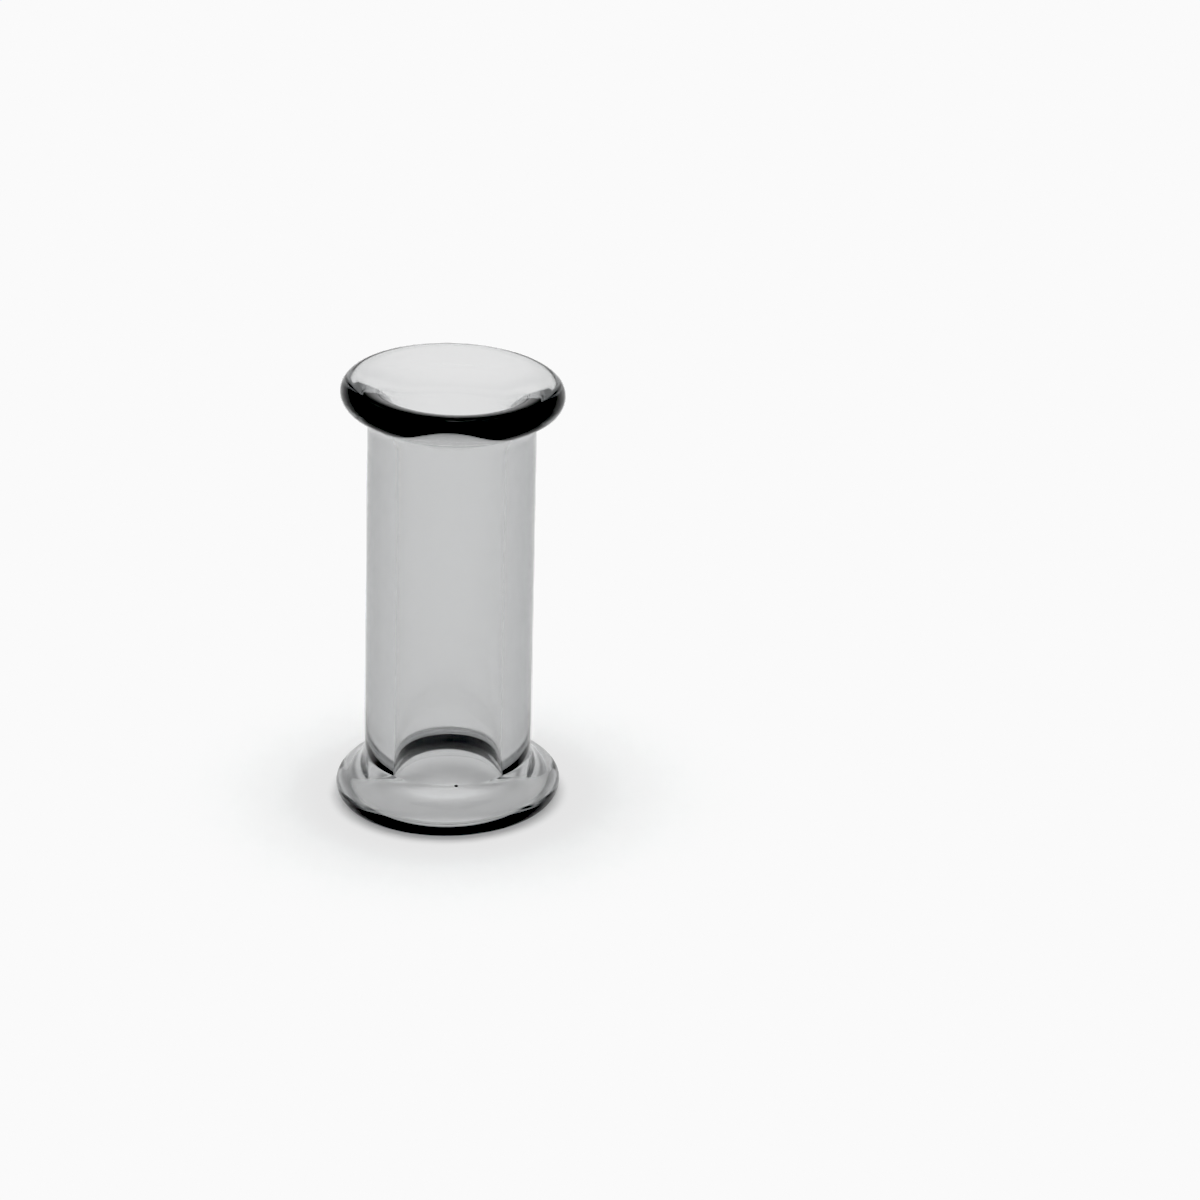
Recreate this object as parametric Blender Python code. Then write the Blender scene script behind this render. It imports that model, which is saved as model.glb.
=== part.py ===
"""Double flare flesh tunnel: one short glass tube whose two ends open into rounded, flared lips.

Metres, +Z up. The tube stands on its lower lip, and the origin is on the floor, in the middle of its box.
"""

import math
from collections import namedtuple

import bmesh
import bpy

# Driving dimensions in metres
MM = 0.001
BARREL_RADIUS = 2.5 * MM
BORE_RADIUS = 1.6 * MM
LENGTH = 13.40 * MM

# A lip, seen in section: a flat ground ring, a rounded rim, a full underside and a bell to the bore.
# Pressed is how flat its underside and neck are, as their height for their width.
Lip = namedtuple(
    "Lip", "flare rim_width rim_height underside neck pressed ground_ring bell_depth bell_fullness"
)

UPPER_LIP = Lip(
    flare=3.32 * MM,
    rim_width=0.37 * MM,
    rim_height=0.375 * MM,
    underside=0.55 * MM,
    neck=0.685 * MM,
    pressed=0.89,
    ground_ring=0.12 * MM,
    bell_depth=1.275 * MM,
    bell_fullness=1.84,
)
LOWER_LIP = Lip(
    flare=3.375 * MM,
    rim_width=0.395 * MM,
    rim_height=0.45 * MM,
    underside=0.81 * MM,
    neck=0.84 * MM,
    pressed=0.70,
    ground_ring=0.12 * MM,
    bell_depth=1.10 * MM,
    bell_fullness=1.325,
)

# Worked by hand: the barrel leans on its lower lip, and the upper lip a little more
BARREL_LEAN = math.radians(1.3)
UPPER_LIP_LEAN = math.radians(2.2)
BEND_LENGTH = 1.2 * MM

# Facets
TURN_STEPS = 72
NECK_STEPS = 4
UNDERSIDE_STEPS = 7
RIM_STEPS = 6
BELL_STEPS = 9
BARREL_STEPS = 8

GLASS_COLOUR = (0.78, 0.80, 0.79, 1.0)
GLASS_ROUGHNESS = 0.02
GLASS_IOR = 1.515


def clear_scene():
    for obj in list(bpy.data.objects):
        bpy.data.objects.remove(obj, do_unlink=True)


def arc(centre, half_width, half_height, start, end, steps, fullness=2.0):
    """Points in the (radius, height) plane on an ellipse, whose corner a fullness under 2 cuts."""
    power = 2 / fullness
    points = []
    for i in range(steps + 1):
        angle = start + (end - start) * i / steps
        across = math.copysign(abs(math.cos(angle)) ** power, math.cos(angle))
        up = math.copysign(abs(math.sin(angle)) ** power, math.sin(angle))
        points.append((centre[0] + half_width * across, centre[1] + half_height * up))
    return points


def flare(lip):
    """A lip's section as if at the top, from the barrel over the rim to the bore, round mid height."""
    end = LENGTH / 2
    widest = end - lip.rim_height
    underside_centre = (lip.flare - lip.underside, widest)

    # Two circles that touch, the neck's and the underside's, pressed flatter by the same share
    across = BARREL_RADIUS + lip.neck - underside_centre[0]
    down = math.sqrt((lip.underside + lip.neck) ** 2 - across**2)
    meeting = math.atan2(-down, across)
    neck_centre = (BARREL_RADIUS + lip.neck, widest - down * lip.pressed)
    neck_height = lip.neck * lip.pressed
    underside_height = lip.underside * lip.pressed

    ring_outside = lip.flare - lip.rim_width
    ring_inside = ring_outside - lip.ground_ring
    bell_centre = (ring_inside, end - lip.bell_depth)
    bell_width = ring_inside - BORE_RADIUS
    half_turn = math.pi
    quarter_turn = math.pi / 2

    neck = arc(neck_centre, lip.neck, neck_height, half_turn, meeting + half_turn, NECK_STEPS)
    underside = arc(underside_centre, lip.underside, underside_height, meeting, 0, UNDERSIDE_STEPS)
    rim = arc((ring_outside, widest), lip.rim_width, lip.rim_height, 0, quarter_turn, RIM_STEPS)
    bell = arc(
        bell_centre, bell_width, lip.bell_depth, quarter_turn, half_turn, BELL_STEPS, lip.bell_fullness
    )
    return neck + underside[1:] + rim[1:] + bell


def between(start, end, radius):
    """Points up or down a straight stretch of the wall, without its ends."""
    points = []
    for i in range(1, BARREL_STEPS):
        points.append((radius, start + (end - start) * i / BARREL_STEPS))
    return points


def tube_section():
    """The whole section as a closed loop: up the outside, over the lip, down the bore and under."""
    upper = flare(UPPER_LIP)
    lower = [(radius, -height) for radius, height in reversed(flare(LOWER_LIP))]
    outside = between(lower[-1][1], upper[0][1], BARREL_RADIUS)
    bore = between(upper[-1][1], lower[0][1], BORE_RADIUS)
    return lower + outside + upper + bore


def smooth_step(value):
    value = min(max(value, 0.0), 1.0)
    return value * value * (3 - 2 * value)


def lean_at(height):
    """How far the tube's centre line is out of upright at this height, from -LENGTH/2 to LENGTH/2."""
    from_floor = height + LENGTH / 2
    to_top = LENGTH / 2 - height
    lower_bend = smooth_step(from_floor / BEND_LENGTH - 0.5)
    upper_bend = 1 - smooth_step(to_top / BEND_LENGTH - 0.5)
    return BARREL_LEAN * lower_bend + (UPPER_LIP_LEAN - BARREL_LEAN) * upper_bend


def centre_line(height):
    """The centre line's place at this height: the leans below it added up, from mid height."""
    steps = 40
    x = 0.0
    z = 0.0
    for i in range(steps):
        lean = lean_at(height * (i + 0.5) / steps)
        x += math.sin(lean) * height / steps
        z += math.cos(lean) * height / steps
    return x, z


def set_by_hand(mesh):
    """Bends the straight tube along its centre line, and stands it on the floor over the origin."""
    for vertex in mesh.verts:
        height = vertex.co.z
        lean = lean_at(height)
        x, z = centre_line(height)
        across = vertex.co.x
        vertex.co.x = x + across * math.cos(lean)
        vertex.co.z = z - across * math.sin(lean)
    sideways = [vertex.co.x for vertex in mesh.verts]
    middle = (min(sideways) + max(sideways)) / 2
    floor = centre_line(-LENGTH / 2)[1]
    bmesh.ops.translate(mesh, verts=mesh.verts, vec=(-middle, 0, -floor))


def make_tunnel():
    """The section turned round the axis, as the glass was turned in the flame."""
    mesh = bmesh.new()
    points = [mesh.verts.new((radius, 0, height)) for radius, height in tube_section()]
    edges = []
    for i, point in enumerate(points):
        edges.append(mesh.edges.new((point, points[(i + 1) % len(points)])))
    bmesh.ops.spin(
        mesh,
        geom=points + edges,
        axis=(0, 0, 1),
        cent=(0, 0, 0),
        angle=2 * math.pi,
        steps=TURN_STEPS,
        use_merge=True,
    )
    bmesh.ops.recalc_face_normals(mesh, faces=mesh.faces)
    set_by_hand(mesh)
    data = bpy.data.meshes.new("tunnel")
    mesh.to_mesh(data)
    mesh.free()
    data.shade_smooth()
    tunnel = bpy.data.objects.new("tunnel", data)
    bpy.context.scene.collection.objects.link(tunnel)
    return tunnel


def smoke_glass():
    material = bpy.data.materials.new("smoke_glass")
    material.use_nodes = True
    shader = material.node_tree.nodes["Principled BSDF"]
    shader.inputs["Base Color"].default_value = GLASS_COLOUR
    shader.inputs["Roughness"].default_value = GLASS_ROUGHNESS
    shader.inputs["Metallic"].default_value = 0.0
    shader.inputs["IOR"].default_value = GLASS_IOR
    shader.inputs["Transmission Weight"].default_value = 1.0
    return material


clear_scene()
tunnel = make_tunnel()
tunnel.data.materials.append(smoke_glass())
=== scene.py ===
# %% [markdown]
# # A double flare flesh tunnel in smoke glass
#
# The object is one short tube of glass, 13 mm long, whose two ends are opened out in a flame into
# rounded lips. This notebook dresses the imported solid: it turns the same section again with many
# more facets, gives it a real glass material with a grey tint inside, and sets up a small table-top
# studio. Clear glass has no colour of its own to paint. What a viewer sees is the surroundings, bent,
# and the dark ends of light paths that run a long way inside the tinted wall. So the section has to
# be right, the tint has to fill the volume, and the light has to come from every side.

# %% Load the frame
import math
from collections import namedtuple

import bmesh
import bpy
from mathutils import Matrix, Vector


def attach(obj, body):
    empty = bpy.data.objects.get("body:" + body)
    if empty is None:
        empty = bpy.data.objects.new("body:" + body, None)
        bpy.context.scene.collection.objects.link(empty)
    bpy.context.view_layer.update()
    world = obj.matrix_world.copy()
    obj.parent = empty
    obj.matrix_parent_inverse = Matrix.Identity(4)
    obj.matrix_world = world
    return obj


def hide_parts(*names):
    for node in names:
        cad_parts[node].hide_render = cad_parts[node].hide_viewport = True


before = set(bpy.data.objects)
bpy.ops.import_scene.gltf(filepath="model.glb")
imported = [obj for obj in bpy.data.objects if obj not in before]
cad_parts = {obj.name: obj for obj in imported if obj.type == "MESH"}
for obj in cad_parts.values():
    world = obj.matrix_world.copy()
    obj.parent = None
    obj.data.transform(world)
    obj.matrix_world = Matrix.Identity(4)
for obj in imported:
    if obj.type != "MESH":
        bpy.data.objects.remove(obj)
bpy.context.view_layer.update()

# %% [markdown]
# ## Sizes
#
# These are the sizes of the solid: a 5 mm barrel with a wall of under 1 mm, and flares of 6.6 and
# 6.8 mm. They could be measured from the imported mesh, but a turned shape is easier to read as the few
# radii that a glass worker would hold a gauge to. The two lips were worked one after the other, so
# each has its own row of sizes. Pressed says how flat a lip's neck and underside are: their height
# as a share of their width.

# %% Sizes in metres
MM = 0.001
BARREL_RADIUS = 2.5 * MM
BORE_RADIUS = 1.6 * MM
LENGTH = 13.40 * MM

Lip = namedtuple(
    "Lip", "flare rim_width rim_height underside neck pressed ground_ring bell_depth fullness"
)
UPPER_LIP = Lip(
    flare=3.32 * MM,
    rim_width=0.37 * MM,
    rim_height=0.375 * MM,
    underside=0.55 * MM,
    neck=0.685 * MM,
    pressed=0.89,
    ground_ring=0.12 * MM,
    bell_depth=1.275 * MM,
    fullness=1.84,
)
LOWER_LIP = Lip(
    flare=3.375 * MM,
    rim_width=0.395 * MM,
    rim_height=0.45 * MM,
    underside=0.81 * MM,
    neck=0.84 * MM,
    pressed=0.70,
    ground_ring=0.12 * MM,
    bell_depth=1.10 * MM,
    fullness=1.325,
)

BARREL_LEAN = math.radians(1.3)
UPPER_LIP_LEAN = math.radians(2.2)
BEND_LENGTH = 1.2 * MM

# %% [markdown]
# The solid has 72 facets round, which is enough to weigh and to drop on a table. From this camera
# smooth shading hides them: the upper lip looks the same with 72, 180 and 540. The finer cut is a
# margin for a camera that comes close, where straight edges would show in the outline.
# Subdividing would round the ground rings off, so each stretch of the section gets its own number of
# steps instead. The whole tube stays under 200,000 triangles.

# %% How finely each stretch is cut
TURN_STEPS = 540
NECK_STEPS = 12
UNDERSIDE_STEPS = 18
RIM_STEPS = 16
BELL_STEPS = 32
BARREL_STEPS = 12

# %% [markdown]
# ## The section
#
# A turned piece is a flat outline swept round an axis. The outline of this one is a loop: up the
# outside of the barrel, out over the lip, across the narrow ground ring that it stands on, down the
# bell into the bore, and back under. It could be drawn by hand as a Bezier curve. Circle and ellipse
# arcs that meet on a common tangent suit glass better, because a kink in a wall can show as a line.
# The sizes of the lips and the bore were fitted: many trial renders were compared with the photograph.

# %% Draw one flare
def arc(centre, half_width, half_height, start, end, steps, fullness=2.0):
    """Points (radius, height) on an ellipse. A fullness under 2 cuts its corner, over 2 fills it."""
    power = 2 / fullness
    points = []
    for i in range(steps + 1):
        angle = start + (end - start) * i / steps
        across = math.copysign(abs(math.cos(angle)) ** power, math.cos(angle))
        up = math.copysign(abs(math.sin(angle)) ** power, math.sin(angle))
        points.append((centre[0] + half_width * across, centre[1] + half_height * up))
    return points


def flare(lip):
    """An upper flare from the barrel, over the lip, to the bore. Heights are from mid length."""
    end = LENGTH / 2
    widest = end - lip.rim_height
    underside = (lip.flare - lip.underside, widest)
    across = BARREL_RADIUS + lip.neck - underside[0]
    down = math.sqrt((lip.underside + lip.neck) ** 2 - across**2)
    neck = (BARREL_RADIUS + lip.neck, widest - down * lip.pressed)
    meeting = math.atan2(-down, across)
    neck_height = lip.neck * lip.pressed
    underside_height = lip.underside * lip.pressed
    ring_outside = lip.flare - lip.rim_width
    ring_inside = ring_outside - lip.ground_ring
    bell = (ring_inside, end - lip.bell_depth)
    bell_width = ring_inside - BORE_RADIUS
    half_turn = math.pi
    quarter_turn = math.pi / 2
    rim = (ring_outside, widest)
    points = arc(neck, lip.neck, neck_height, half_turn, half_turn + meeting, NECK_STEPS)
    points += arc(underside, lip.underside, underside_height, meeting, 0, UNDERSIDE_STEPS)[1:]
    points += arc(rim, lip.rim_width, lip.rim_height, 0, quarter_turn, RIM_STEPS)[1:]
    points += arc(
        bell, bell_width, lip.bell_depth, quarter_turn, half_turn, BELL_STEPS, lip.fullness
    )
    return points


def whole_section():
    """The closed loop of the tube's wall, with a few points along the straight barrel and bore."""
    upper = flare(UPPER_LIP)
    lower = [(radius, -height) for radius, height in reversed(flare(LOWER_LIP))]
    outside = []
    bore = []
    for i in range(1, BARREL_STEPS):
        share = i / BARREL_STEPS
        outside.append((BARREL_RADIUS, lower[-1][1] + share * (upper[0][1] - lower[-1][1])))
        bore.append((BORE_RADIUS, upper[-1][1] + share * (lower[0][1] - upper[-1][1])))
    return lower + outside + upper + bore


SECTION = whole_section()
print("points round the section:", len(SECTION))
print("wall of the barrel in mm:", round((BARREL_RADIUS - BORE_RADIUS) / MM, 2))

# %% [markdown]
# ## Turning it with Geometry Nodes
#
# The Screw modifier would turn the section too. A node tree keeps its sizes as named inputs, and can
# go on to bend the turned tube, so the lean is a number and not a sculpted accident. A circle is the
# path and the section is its profile. The real tube was worked by hand: its barrel leans 1.3 degrees
# out of square on the lower lip, and the upper lip leans a little more.

# %% Helpers for node trees
def fill(tree, socket, value):
    """Links a socket into this one, or sets it to a plain value."""
    if isinstance(value, bpy.types.NodeSocket):
        tree.links.new(value, socket)
    else:
        socket.default_value = value


def calculate(tree, operation, *values):
    """A Math node."""
    node = tree.nodes.new("ShaderNodeMath")
    node.operation = operation
    for socket, value in zip(node.inputs, values):
        fill(tree, socket, value)
    return node.outputs[0]


def combine(tree, x, y, z):
    node = tree.nodes.new("ShaderNodeCombineXYZ")
    for socket, value in zip(node.inputs, (x, y, z)):
        fill(tree, socket, value)
    return node.outputs[0]


def split(tree, vector):
    node = tree.nodes.new("ShaderNodeSeparateXYZ")
    tree.links.new(vector, node.inputs[0])
    return node.outputs


def step_up(tree, value, start, end):
    """A smooth step from 0 at start to 1 at end."""
    node = tree.nodes.new("ShaderNodeMapRange")
    node.interpolation_type = "SMOOTHSTEP"
    fill(tree, node.inputs["Value"], value)
    fill(tree, node.inputs["From Min"], start)
    fill(tree, node.inputs["From Max"], end)
    return node.outputs["Result"]


def area_under_step(tree, value, start, width):
    """The area under that smooth step, up to value: t cubed less half t to the fourth, then t."""
    turns = calculate(tree, "DIVIDE", calculate(tree, "SUBTRACT", value, start), width)
    inside = calculate(tree, "MINIMUM", calculate(tree, "MAXIMUM", turns, 0.0), 1.0)
    cubed = calculate(tree, "POWER", inside, 3.0)
    half_fourth = calculate(tree, "MULTIPLY", calculate(tree, "POWER", inside, 4.0), 0.5)
    beyond = calculate(tree, "MAXIMUM", calculate(tree, "SUBTRACT", turns, 1.0), 0.0)
    area = calculate(tree, "ADD", calculate(tree, "SUBTRACT", cubed, half_fourth), beyond)
    return calculate(tree, "MULTIPLY", area, width)


def geometry_step(tree, kind, geometry, **inputs):
    """A geometry node of this kind, fed with the geometry and its other inputs by name."""
    node = tree.nodes.new(kind)
    tree.links.new(geometry, node.inputs[0])
    for name, value in inputs.items():
        fill(tree, node.inputs[name.replace("_", " ")], value)
    return node.outputs[0]

# %% Name the tree's inputs
def named_inputs(tree):
    """Adds the tree's sockets, and gives the value that each size starts from."""
    face = tree.interface
    face.new_socket("Section", in_out="INPUT", socket_type="NodeSocketGeometry")
    sizes = {
        "Turn Steps": TURN_STEPS,
        "Barrel Radius": BARREL_RADIUS,
        "Length": LENGTH,
        "Barrel Lean": BARREL_LEAN,
        "Upper Lip Lean": UPPER_LIP_LEAN,
        "Bend Length": BEND_LENGTH,
    }
    for name, value in sizes.items():
        kind = "NodeSocketInt" if isinstance(value, int) else "NodeSocketFloat"
        face.new_socket(name, in_out="INPUT", socket_type=kind)
    face.new_socket("Glass", in_out="INPUT", socket_type="NodeSocketMaterial")
    face.new_socket("Tube", in_out="OUTPUT", socket_type="NodeSocketGeometry")
    return sizes

# %% Turn, bend and stand the tube
def turn(tree, given):
    """Sweeps the section round a circle of the barrel's radius."""
    inward = calculate(tree, "MULTIPLY", given["Barrel Radius"], -1.0)
    from_path = combine(tree, inward, 0.0, 0.0)
    profile = geometry_step(tree, "GeometryNodeMeshToCurve", given["Section"])
    profile = geometry_step(tree, "GeometryNodeTransform", profile, Translation=from_path)
    path = tree.nodes.new("GeometryNodeCurvePrimitiveCircle")
    tree.links.new(given["Turn Steps"], path.inputs["Resolution"])
    tree.links.new(given["Barrel Radius"], path.inputs["Radius"])
    return geometry_step(
        tree, "GeometryNodeCurveToMesh", path.outputs["Curve"], Profile_Curve=profile
    )


def bend(tree, given, tube):
    """The lean grows over the lower neck, holds along the barrel, and grows again at the upper neck."""
    place = tree.nodes.new("GeometryNodeInputPosition").outputs[0]
    across, side, height = split(tree, place)
    half = calculate(tree, "MULTIPLY", given["Length"], 0.5)
    width = given["Bend Length"]
    half_width = calculate(tree, "MULTIPLY", width, 0.5)
    low_start = calculate(tree, "SUBTRACT", half_width, half)
    low_end = calculate(tree, "ADD", low_start, width)
    high_end = calculate(tree, "SUBTRACT", half, half_width)
    high_start = calculate(tree, "SUBTRACT", high_end, width)
    more = calculate(tree, "SUBTRACT", given["Upper Lip Lean"], given["Barrel Lean"])
    bends = ((given["Barrel Lean"], low_start, low_end), (more, high_start, high_end))
    lean = 0.0
    drift = 0.0
    for angle, start, end in bends:
        turned = calculate(tree, "MULTIPLY", angle, step_up(tree, height, start, end))
        moved = calculate(tree, "MULTIPLY", angle, area_under_step(tree, height, start, width))
        lean = calculate(tree, "ADD", turned, lean)
        drift = calculate(tree, "ADD", moved, drift)
    x = calculate(tree, "MULTIPLY_ADD", across, calculate(tree, "COSINE", lean), drift)
    drop = calculate(tree, "MULTIPLY", across, calculate(tree, "SINE", lean))
    rise = calculate(tree, "MULTIPLY", height, calculate(tree, "COSINE", given["Barrel Lean"]))
    z = calculate(tree, "SUBTRACT", rise, drop)
    return geometry_step(tree, "GeometryNodeSetPosition", tube, Position=combine(tree, x, side, z))


def stand(tree, tube):
    """Moves the tube onto the floor, with the origin in the middle of its box."""
    box = tree.nodes.new("GeometryNodeBoundBox")
    tree.links.new(tube, box.inputs[0])
    low = split(tree, box.outputs["Min"])
    high = split(tree, box.outputs["Max"])
    moves = []
    for i in range(2):
        moves.append(calculate(tree, "MULTIPLY", calculate(tree, "ADD", low[i], high[i]), -0.5))
    lift = calculate(tree, "MULTIPLY", low[2], -1.0)
    return geometry_step(
        tree, "GeometryNodeSetPosition", tube, Offset=combine(tree, moves[0], moves[1], lift)
    )

# %% Put the tree together
def tube_tree():
    tree = bpy.data.node_groups.new("turn_and_bend", "GeometryNodeTree")
    sizes = named_inputs(tree)
    given = tree.nodes.new("NodeGroupInput").outputs
    tube = stand(tree, bend(tree, given, turn(tree, given)))
    tube = geometry_step(tree, "GeometryNodeSetShadeSmooth", tube)
    tube = geometry_step(tree, "GeometryNodeRealizeInstances", tube)
    finish = tree.nodes.new("GeometryNodeSetMaterial")
    tree.links.new(tube, finish.inputs["Geometry"])
    tree.links.new(given["Glass"], finish.inputs["Material"])
    done = tree.nodes.new("NodeGroupOutput")
    tree.links.new(finish.outputs[0], done.inputs["Tube"])
    return tree, sizes

# %% [markdown]
# ## Smoke glass
#
# The glass is a neutral grey, melted right through. Grey paint on a clear shader would darken every
# surface by the same share. A Volume Absorption node darkens by the distance that light travels
# inside, which is what real tinted glass does: the mouth stays pale, the barrel is light grey, and the
# upper lip's band and the arch at the foot go black. Without the tint, those two shrink to thin dark
# streaks and the barrel all but vanishes into the sheet.

# %% Tint values
GLASS_IOR = 1.515
TINT_PER_METRE = 270.0
TINT_LEFT = (0.0, 0.02, 0.03, 1.0)

# %% [markdown]
# The surface is fire-polished, so it has no grain of its own, only the low waves that turning in a
# flame leaves. Their height, under a hundredth of a millimetre, is a guess, and from this camera the
# picture is all but the same without them. They are too low to be worth modelling, so a Bump node does
# it. Its noise is read from Object coordinates, quick along the height and slow across, so the waves
# run round the tube.

# %% Flame waves
WAVE_HEIGHT = 0.006 * MM
WAVES_PER_METRE_UP = 900.0
WAVES_PER_METRE_ACROSS = 260.0


def flame_waves(tree):
    """A Bump from noise that is stretched round the tube."""
    across, side, height = split(tree, tree.nodes.new("ShaderNodeTexCoord").outputs["Object"])
    place = combine(
        tree,
        calculate(tree, "MULTIPLY", across, WAVES_PER_METRE_ACROSS),
        calculate(tree, "MULTIPLY", side, WAVES_PER_METRE_ACROSS),
        calculate(tree, "MULTIPLY", height, WAVES_PER_METRE_UP),
    )
    noise = tree.nodes.new("ShaderNodeTexNoise")
    noise.inputs["Scale"].default_value = 1.0
    noise.inputs["Detail"].default_value = 1.0
    tree.links.new(place, noise.inputs["Vector"])
    bump = tree.nodes.new("ShaderNodeBump")
    bump.inputs["Distance"].default_value = WAVE_HEIGHT
    tree.links.new(noise.outputs[0], bump.inputs["Height"])
    return bump.outputs["Normal"]

# %% Make the glass
def smoke_glass():
    material = bpy.data.materials.new("smoke_glass")
    material.use_nodes = True
    tree = material.node_tree
    shader = tree.nodes["Principled BSDF"]
    shader.inputs["Base Color"].default_value = (1.0, 1.0, 1.0, 1.0)
    shader.inputs["Roughness"].default_value = 0.0
    shader.inputs["IOR"].default_value = GLASS_IOR
    shader.inputs["Transmission Weight"].default_value = 1.0
    tree.links.new(flame_waves(tree), shader.inputs["Normal"])
    body = tree.nodes.new("ShaderNodeVolumeAbsorption")
    body.inputs["Color"].default_value = TINT_LEFT
    body.inputs["Density"].default_value = TINT_PER_METRE
    tree.links.new(body.outputs["Volume"], tree.nodes["Material Output"].inputs["Volume"])
    return material


glass = smoke_glass()
print("light left after 1 mm of glass:", round(math.exp(-TINT_PER_METRE * MM), 3))

# %% Run the tree on the section
def section_mesh():
    """The section as a profile, whose Y points down on this path. Its order sets which way faces look."""
    mesh = bpy.data.meshes.new("section")
    corners = [(radius, -height, 0) for radius, height in reversed(SECTION)]
    count = len(corners)
    mesh.from_pydata(corners, [(i, (i + 1) % count) for i in range(count)], [])
    return mesh


def make_tube():
    tube = bpy.data.objects.new("glass_tube", section_mesh())
    bpy.context.scene.collection.objects.link(tube)
    tree, sizes = tube_tree()
    modifier = tube.modifiers.new("turn_and_bend", "NODES")
    modifier.node_group = tree
    sockets = [item for item in tree.interface.items_tree if item.in_out == "INPUT"]
    identifier = {item.name: item.identifier for item in sockets}
    for name, value in sizes.items():
        modifier[identifier[name]] = value
    modifier[identifier["Glass"]] = glass
    ready = tube.evaluated_get(bpy.context.evaluated_depsgraph_get())
    mesh = bpy.data.meshes.new_from_object(ready)
    tube.modifiers.clear()
    tube.data = mesh
    mesh.name = "glass_tube"
    return tube


glass_tube = make_tube()
print("faces of the tube:", len(glass_tube.data.polygons))
print("size in mm:", [round(value / MM, 3) for value in glass_tube.dimensions])

# %% Check that it is closed and faces outwards
check = bmesh.new()
check.from_mesh(glass_tube.data)
open_edges = sum(not edge.is_manifold for edge in check.edges)
volume = check.calc_volume(signed=True) / MM**3
check.free()
print("open edges:", open_edges, " volume in cubic mm:", round(volume, 1))

# %% Hand the tube to the frame
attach(glass_tube, "root")
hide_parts("tunnel")

# %% [markdown]
# ## A grain in the glass
#
# The photograph shows one dark speck where the barrel runs into the lower lip. It is taken to be a
# grain of carbon from the torch, a tenth of a millimetre long, caught just under the skin. A black dot
# painted on the surface would stay on the surface from every side. A small lumpy solid inside the
# wall is seen through the glass, so it moves and doubles as the viewer walks round.

# %% Grain values
GRAIN_PLACE = Vector((0.20, -2.42, 1.36)) * MM
GRAIN_HALF = Vector((0.055, 0.035, 0.035)) * MM
LUMP_SHARE = 0.18
LUMPS_ROUND = 5.0
LUMPS_ALONG = 3
SPECKS_PER_METRE = 20000.0
SOOT = (0.004, 0.004, 0.004, 1.0)
DUSTY_SOOT = (0.03, 0.03, 0.03, 1.0)

# %% Make the grain
def carbon_black():
    """Soot is nearly black, and a little lighter where it is dusty."""
    material = bpy.data.materials.new("carbon_black")
    material.use_nodes = True
    tree = material.node_tree
    noise = tree.nodes.new("ShaderNodeTexNoise")
    noise.inputs["Scale"].default_value = SPECKS_PER_METRE
    tree.links.new(tree.nodes.new("ShaderNodeTexCoord").outputs["Object"], noise.inputs["Vector"])
    dust = tree.nodes.new("ShaderNodeValToRGB")
    dust.color_ramp.elements[0].color = SOOT
    dust.color_ramp.elements[1].color = DUSTY_SOOT
    tree.links.new(noise.outputs[0], dust.inputs["Fac"])
    shader = tree.nodes["Principled BSDF"]
    shader.inputs["Roughness"].default_value = 0.9
    tree.links.new(dust.outputs["Color"], shader.inputs["Base Color"])
    return material


def carbon_grain():
    """A small sphere of triangles, pressed long and lumpy."""
    mesh = bpy.data.meshes.new("carbon_grain")
    ball = bmesh.new()
    bmesh.ops.create_icosphere(ball, subdivisions=3, radius=1.0)
    for vertex in ball.verts:
        turn_round = math.atan2(vertex.co.z, vertex.co.x)
        lump_along = math.cos(LUMPS_ALONG * vertex.co.y)
        lump = 1 + LUMP_SHARE * math.sin(LUMPS_ROUND * turn_round) * lump_along
        vertex.co = GRAIN_PLACE + vertex.co * GRAIN_HALF * lump
    ball.to_mesh(mesh)
    ball.free()
    mesh.shade_smooth()
    mesh.materials.append(carbon_black())
    grain = bpy.data.objects.new("carbon_grain", mesh)
    bpy.context.scene.collection.objects.link(grain)
    return grain


grain = carbon_grain()
print("grain in mm:", [round(value / MM, 3) for value in grain.dimensions])
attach(grain, "root")

# %% [markdown]
# ## The table and the light
#
# Jewellery like this is photographed on a white sheet under a large soft light. Glass shows the whole
# room, so the light can't be one lamp: a lamp would leave hard spots and black gaps. A World whose
# brightness changes slowly with height acts as a tent of paper all round. The sheet is a plain white
# disc with a faint glow of its own, so that it stays white up to the shadow at the foot of the tube.
# It lies a hundredth of a millimetre under the glass, because two faces in the same plane would leave
# the renderer to guess which one a ray meets first. The brightness of the sheet and of the tent was
# fitted to the photograph, like the sizes of the lips.

# %% The white sheet
SHEET_RADIUS = 0.6
SHEET_SIDES = 96
SHEET_WHITE = 0.88
SHEET_GLOW = 0.05
FILM_OF_AIR = 0.01 * MM


def white_sheet():
    mesh = bpy.data.meshes.new("white_sheet")
    disc = bmesh.new()
    bmesh.ops.create_circle(disc, cap_ends=True, segments=SHEET_SIDES, radius=SHEET_RADIUS)
    bmesh.ops.translate(disc, verts=disc.verts, vec=(0, 0, -FILM_OF_AIR))
    disc.to_mesh(mesh)
    disc.free()
    sheet = bpy.data.objects.new("white_sheet", mesh)
    bpy.context.scene.collection.objects.link(sheet)
    material = bpy.data.materials.new("white_sheet")
    material.use_nodes = True
    shader = material.node_tree.nodes["Principled BSDF"]
    shader.inputs["Base Color"].default_value = (SHEET_WHITE, SHEET_WHITE, SHEET_WHITE, 1.0)
    shader.inputs["Roughness"].default_value = 1.0
    shader.inputs["Specular IOR Level"].default_value = 0.0
    shader.inputs["Emission Color"].default_value = (1.0, 1.0, 1.0, 1.0)
    shader.inputs["Emission Strength"].default_value = SHEET_GLOW
    mesh.materials.append(material)
    return sheet


white_sheet()

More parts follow.
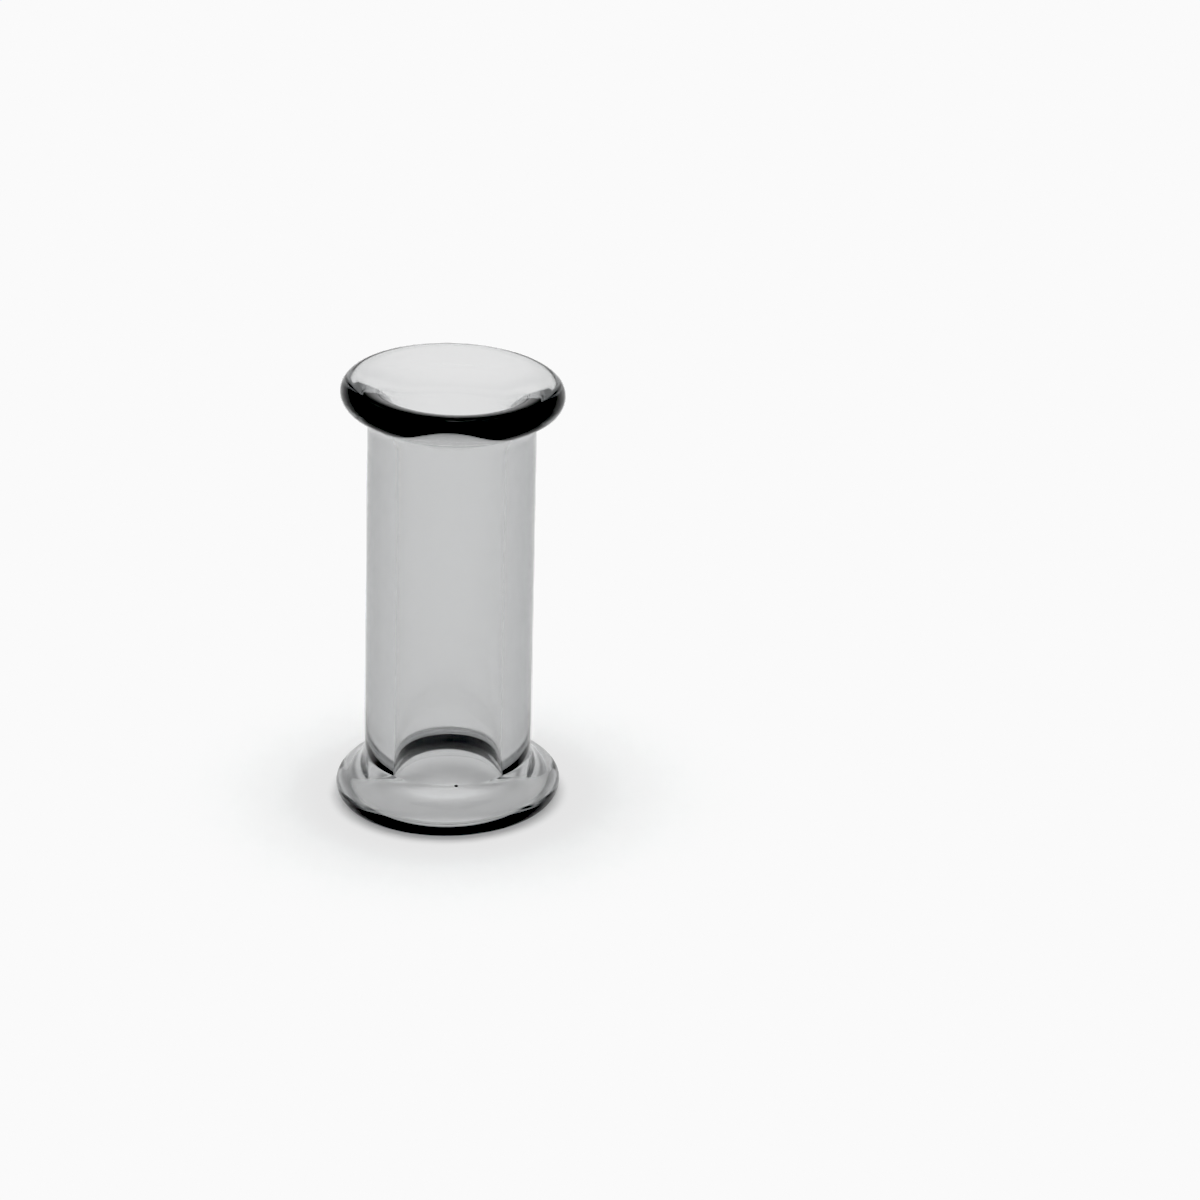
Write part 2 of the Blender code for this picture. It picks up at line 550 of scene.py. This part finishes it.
# %% The tent of light
TENT = (
    (0.0, 0.97),
    (0.07, 0.88),
    (0.22, 0.87),
    (0.42, 0.49),
    (0.65, 0.93),
    (0.90, 1.36),
)


def light_tent():
    """A World that is as bright as the sheet below the horizon, and changes with height above it."""
    world = bpy.data.worlds.new("light_tent")
    bpy.context.scene.world = world
    world.use_nodes = True
    tree = world.node_tree
    direction = tree.nodes.new("ShaderNodeTexCoord").outputs["Generated"]
    height = split(tree, direction)[2]
    ramp = tree.nodes.new("ShaderNodeValToRGB")
    ramp.color_ramp.interpolation = "EASE"
    tree.links.new(height, ramp.inputs["Fac"])
    stops = ramp.color_ramp.elements
    while len(stops) < len(TENT):
        stops.new(0.5)
    for stop, (place, brightness) in zip(stops, TENT):
        stop.position = place
        stop.color = (brightness, brightness, brightness, 1.0)
    back = tree.nodes["Background"]
    tree.links.new(ramp.outputs["Color"], back.inputs["Color"])
    back.inputs["Strength"].default_value = 1.0


light_tent()

# %% [markdown]
# ## Letting light through thick glass
#
# The sheet under the glass is lit through the glass. By default the renderer blurs such light to save
# noise, and that makes the lower lip 34 to 43 levels of 255 darker, so the blur is turned off. The
# limits on bounces are raised too. That changes almost nothing from this camera, and is kept as a
# margin for other views.

# %% Light paths
paths = bpy.context.scene.cycles
paths.blur_glossy = 0.0
paths.max_bounces = 16
paths.transmission_bounces = 16
paths.glossy_bounces = 10

# %% [markdown]
# ## The camera
#
# A long lens, from 18 cm away and 24 degrees above the table, looks slightly down into the mouth. The
# lens is worked out from how large the tube stands in the picture: 33.51 pixels to the millimetre in
# a frame of 1200. The camera looks straight along its own axis and is moved sideways, not shifted,
# to set the tube left of the middle.

# %% Set up the camera
IMAGE_SIDE = 1200
PIXELS_PER_METRE = 33510.0
TUBE_ACROSS = 449.4
TUBE_DOWN = 589.2
CAMERA_DISTANCE = 0.180
CAMERA_ELEVATION = math.radians(24.0)
SENSOR_WIDTH = 36.0


def set_camera():
    camera = bpy.data.cameras.new("camera")
    holder = bpy.data.objects.new("camera", camera)
    bpy.context.scene.collection.objects.link(holder)
    bpy.context.scene.camera = holder
    camera.sensor_width = SENSOR_WIDTH
    camera.lens = PIXELS_PER_METRE * CAMERA_DISTANCE / IMAGE_SIDE * SENSOR_WIDTH
    camera.clip_start = 0.001
    camera.clip_end = 10.0
    right = Vector((1, 0, 0))
    up = Vector((0, math.sin(CAMERA_ELEVATION), math.cos(CAMERA_ELEVATION)))
    back = Vector((0, -math.cos(CAMERA_ELEVATION), math.sin(CAMERA_ELEVATION)))
    move_right = (IMAGE_SIDE / 2 - TUBE_ACROSS) / PIXELS_PER_METRE
    move_up = (TUBE_DOWN - IMAGE_SIDE / 2) / PIXELS_PER_METRE
    middle = Vector((0, 0, LENGTH / 2))
    place = middle + back * CAMERA_DISTANCE + right * move_right + up * move_up
    turned = Matrix((right, up, back)).transposed().to_4x4()
    holder.matrix_world = Matrix.Translation(place) @ turned
    return camera


camera = set_camera()
print("lens in mm:", round(camera.lens, 1))

# %% [markdown]
# ## The picture's tones
#
# The Standard view adds no look of its own. A photographer sets two more things. The black point makes
# the faint reflections in the darkest glass fall to black. The tone curve brings the sheet up to one
# even white a little under full, so that only the shadow at the tube's foot is left on it. Both were
# chosen by comparing the render with the photograph. The view's curve mapping does both, and works on
# light as the renderer counts it, before it is made into tones.

# %% Set the tones
BLACK_LEVEL = 0.08
SHEET_TONE = 0.956
TONE_CURVE = ((0.52, 0.54), (0.75, 0.775), (0.83, 0.795), (0.875, 0.893), (0.91, SHEET_TONE))


def set_tones():
    tones = bpy.context.scene.view_settings
    tones.view_transform = "Standard"
    tones.use_curve_mapping = True
    mapping = tones.curve_mapping
    mapping.black_level = (BLACK_LEVEL, BLACK_LEVEL, BLACK_LEVEL)
    all_colours = mapping.curves[3]
    all_colours.points[-1].location = (1.0, SHEET_TONE)
    for place in TONE_CURVE:
        all_colours.points.new(*place)
    for point in all_colours.points:
        point.handle_type = "AUTO_CLAMPED"
    mapping.update()
    return [round(mapping.evaluate(all_colours, light), 3) for light in (0.2, 0.5, 0.8, 0.9, 1.2)]


print("tones of light 0.2, 0.5, 0.8, 0.9 and 1.2:", set_tones())
